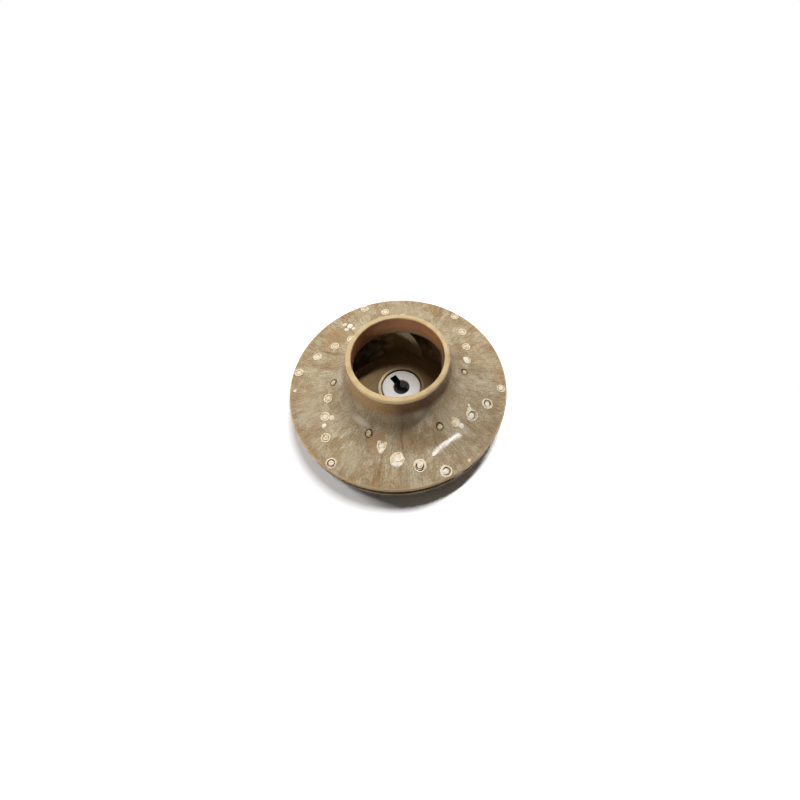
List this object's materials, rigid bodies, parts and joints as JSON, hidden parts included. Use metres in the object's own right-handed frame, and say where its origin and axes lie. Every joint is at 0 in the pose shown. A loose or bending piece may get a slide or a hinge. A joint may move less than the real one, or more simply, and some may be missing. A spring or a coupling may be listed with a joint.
{
  "type": "pump impeller",
  "caption": "Closed centrifugal pump impeller: moulded shroud with a bell-shaped suction neck, staked onto a vaned disc with a keyed metal hub.",
  "frame": {"origin": "centre of the hub's rear face, on the shaft's axis", "axes": "+Z along the shaft from the hub's rear face towards the suction neck; +X lies 45 degrees from the shaft's keyway, which points to -X+Y"},
  "size_m": [0.158, 0.158, 0.0563],
  "materials": {
    "plastic": "semi-gloss marbled tan moulding with flow streaks",
    "insert": "dull light-grey sintered metal"
  },
  "bodies": {
    "root": {"front_shroud": "plastic", "vaned_disc": "plastic", "hub_insert": "insert"}
  },
  "joints": []
}
